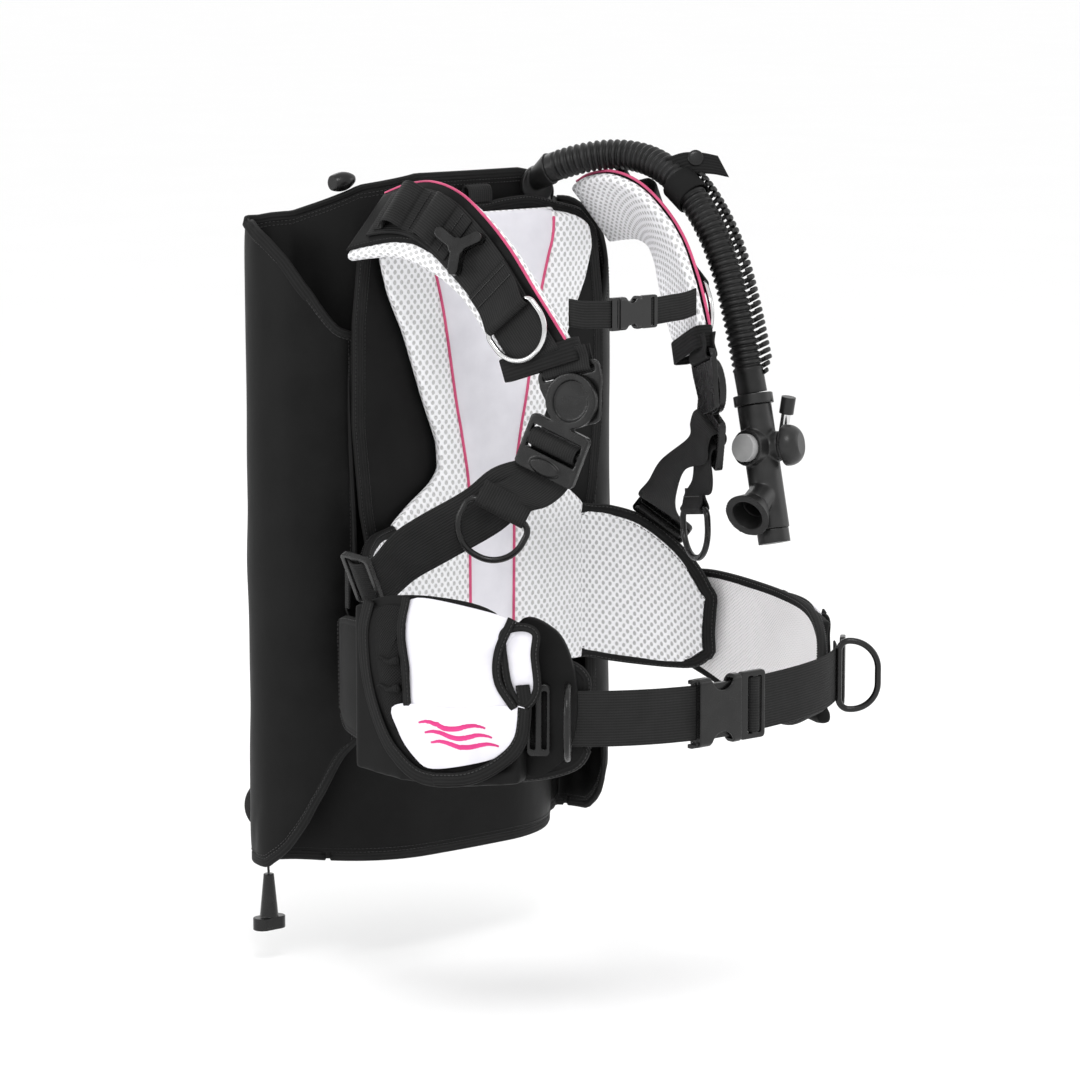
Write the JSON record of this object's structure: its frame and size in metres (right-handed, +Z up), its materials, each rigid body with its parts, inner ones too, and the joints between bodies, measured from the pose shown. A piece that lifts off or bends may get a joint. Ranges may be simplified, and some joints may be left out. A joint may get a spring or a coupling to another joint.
{
  "type": "buoyancy compensator vest",
  "caption": "Scuba buoyancy vest: folded air cell on a backplate, padded shoulder and waist harness, weight pockets, and a corrugated hose with an inflator.",
  "frame": {"origin": "centre of the tank band's clamp, on the axis of the diving cylinder", "axes": "+Z up along the cylinder, -Y the way the wearer faces, +X the wearer's left"},
  "size_m": [0.5139, 0.5919, 0.7532],
  "materials": {
    "cell_nylon": "satin coated nylon",
    "moulded_black": "fine moulded texture",
    "gloss_black": "glossy",
    "webbing": "woven",
    "rubber_pad": "ribbed",
    "hose_rubber": "satin",
    "black_nylon": "woven",
    "white_mesh": "spacer mesh",
    "white_fabric": "woven",
    "polished_steel": "polished",
    "inflator_plastic": "fine moulded texture",
    "button_grey": "satin",
    "cord": "braided"
  },
  "bodies": {
    "root": {"air_cell": "cell_nylon", "back_pad": "white_mesh", "backplate": "moulded_black", "cam_buckle": "moulded_black", "carry_handle": "webbing", "corrugated_hose": "hose_rubber", "hip_pad_left": "white_mesh", "hip_pad_right": "white_mesh", "hose_clamp": "inflator_plastic", "hose_elbow": "moulded_black", "hose_keeper": "webbing", "inflator_body": "inflator_plastic", "inflator_end_cap": "inflator_plastic", "inflator_nipple": "polished_steel", "lower_dump_cord": "cord", "lower_dump_valve": "moulded_black", "lumbar_wing_left": "white_mesh", "lumbar_wing_right": "white_mesh", "mouthpiece": "inflator_plastic", "pad_backing": "black_nylon", "shoulder_plate_left": "moulded_black", "shoulder_plate_right": "moulded_black", "shoulder_strap_left": "white_mesh", "shoulder_strap_right": "white_mesh", "shoulder_webbing_left": "webbing", "shoulder_webbing_right": "webbing", "side_straps": "webbing", "sternum_buckle_female": "gloss_black", "sternum_web_left": "webbing", "sternum_web_right": "webbing", "strap_slides": "moulded_black", "strap_webs": "webbing", "tank_band": "webbing", "tank_pad": "rubber_pad", "upper_dump_valve": "moulded_black", "waist_buckle_female": "moulded_black", "waist_slides": "moulded_black", "waist_web_left": "webbing", "waist_web_right": "webbing", "weight_pocket_left": "black_nylon", "weight_pocket_right": "black_nylon"},
    "swivel_right": {"shoulder_buckle_right": "moulded_black"},
    "chest_ring_right_swing": {"chest_ring_right": "polished_steel"},
    "pull_ring_right_swing": {"pull_ring_right": "moulded_black"},
    "waist_ring_right_swing": {"waist_ring_right": "moulded_black"},
    "pouch_right": {"weight_pouch_right": "white_fabric"},
    "swivel_left": {"shoulder_buckle_left": "moulded_black"},
    "chest_ring_left_swing": {"chest_ring_left": "polished_steel"},
    "pull_ring_left_swing": {"pull_ring_left": "moulded_black"},
    "waist_ring_left_swing": {"waist_ring_left": "moulded_black"},
    "pouch_left": {"weight_pouch_left": "white_fabric"},
    "sternum_clip": {"sternum_buckle_male": "gloss_black"},
    "waist_clip": {"waist_buckle_male": "moulded_black"},
    "inflate_press": {"inflate_button": "inflator_plastic"},
    "deflate_press": {"deflate_button": "button_grey"},
    "inlet_cap": {"nipple_cap": "inflator_plastic"},
    "lower_dump_pull": {"lower_dump_toggle": "moulded_black"},
    "upper_dump_pull": {"upper_dump_knob": "moulded_black"},
    "shoulder_dump_pull": {"shoulder_pull_knob": "moulded_black"},
    "cam_lever_swing": {"cam_lever": "moulded_black"}
  },
  "joints": [
    {"name": "swivel_right_turn", "type": "hinge", "parent": "root", "child": "swivel_right", "pos_m": [-0.08266, -0.35281, 0.15168], "axis": [-0.9178, -0.393, 0.0565], "range_deg": [-12, 12], "deforming": ["shoulder_webbing_right"]},
    {"name": "chest_ring_right_hinge", "type": "hinge", "parent": "root", "child": "chest_ring_right_swing", "pos_m": [-0.11314, -0.29663, 0.22623], "axis": [-0.2512, 0.7118, -0.6559], "range_deg": [0, 100]},
    {"name": "pull_ring_right_hinge", "type": "hinge", "parent": "root", "child": "pull_ring_right_swing", "pos_m": [-0.12745, -0.30457, 0.0511], "axis": [-0.6322, 0.6222, 0.4616], "range_deg": [-15, 60]},
    {"name": "waist_ring_right_hinge", "type": "hinge", "parent": "root", "child": "waist_ring_right_swing", "pos_m": [-0.1635, -0.4415, -0.114], "axis": [0, 0, 1], "range_deg": [-55, 55]},
    {"name": "pouch_right_pull", "type": "slide", "parent": "root", "child": "pouch_right", "axis": [0.2756, -0.9613, 0], "range_m": [0, 0.05]},
    {"name": "swivel_left_turn", "type": "hinge", "parent": "root", "child": "swivel_left", "pos_m": [0.08266, -0.35281, 0.15168], "axis": [0.9178, -0.393, 0.0565], "range_deg": [-12, 12], "deforming": ["shoulder_webbing_left"]},
    {"name": "chest_ring_left_hinge", "type": "hinge", "parent": "root", "child": "chest_ring_left_swing", "pos_m": [0.11314, -0.29663, 0.22623], "axis": [-0.2512, -0.7118, 0.6559], "range_deg": [0, 18]},
    {"name": "pull_ring_left_hinge", "type": "hinge", "parent": "root", "child": "pull_ring_left_swing", "pos_m": [0.11077, -0.30061, 0.02965], "axis": [-0.3457, -0.9266, 0.1477], "range_deg": [-15, 60]},
    {"name": "waist_ring_left_hinge", "type": "hinge", "parent": "root", "child": "waist_ring_left_swing", "pos_m": [0.1635, -0.4415, -0.114], "axis": [0, 0, 1], "range_deg": [-55, 55]},
    {"name": "pouch_left_pull", "type": "slide", "parent": "root", "child": "pouch_left", "axis": [-0.1219, -0.9925, 0], "range_m": [0, 0.05]},
    {"name": "sternum_clip_release", "type": "slide", "parent": "root", "child": "sternum_clip", "axis": [1, 0, 0], "range_m": [0, 0.026], "deforming": ["sternum_web_left"]},
    {"name": "waist_clip_release", "type": "slide", "parent": "root", "child": "waist_clip", "axis": [1, 0, 0], "range_m": [0, 0.034], "deforming": ["waist_web_left"]},
    {"name": "inflate_press_travel", "type": "slide", "parent": "root", "child": "inflate_press", "axis": [-0.4825, 0.8645, -0.1407], "range_m": [0, 0.003], "stiffness_N_per_m": 900, "springref_m": -0.004},
    {"name": "deflate_press_travel", "type": "slide", "parent": "root", "child": "deflate_press", "axis": [0.9835, 0.1505, -0.1004], "range_m": [0, 0.0035], "stiffness_N_per_m": 900, "springref_m": -0.004},
    {"name": "inlet_cap_pull", "type": "slide", "parent": "root", "child": "inlet_cap", "axis": [0.0493, -0.1578, 0.9862], "range_m": [0, 0.016]},
    {"name": "lower_dump_travel", "type": "slide", "parent": "root", "child": "lower_dump_pull", "axis": [0, 0, -1], "range_m": [0, 0.012], "stiffness_N_per_m": 700, "springref_m": -0.006, "deforming": ["lower_dump_cord"]},
    {"name": "upper_dump_travel", "type": "slide", "parent": "root", "child": "upper_dump_pull", "axis": [-1, 0, 0], "range_m": [0, 0.012], "stiffness_N_per_m": 700, "springref_m": -0.006},
    {"name": "shoulder_dump_travel", "type": "slide", "parent": "root", "child": "shoulder_dump_pull", "axis": [0.1805, -0.6617, -0.7277], "range_m": [0, 0.012], "stiffness_N_per_m": 700, "springref_m": -0.006},
    {"name": "cam_lever_hinge", "type": "hinge", "parent": "root", "child": "cam_lever_swing", "pos_m": [-0.06822, 0.0857, 0], "axis": [0, 0, 1], "range_deg": [0, 110]}
  ]
}
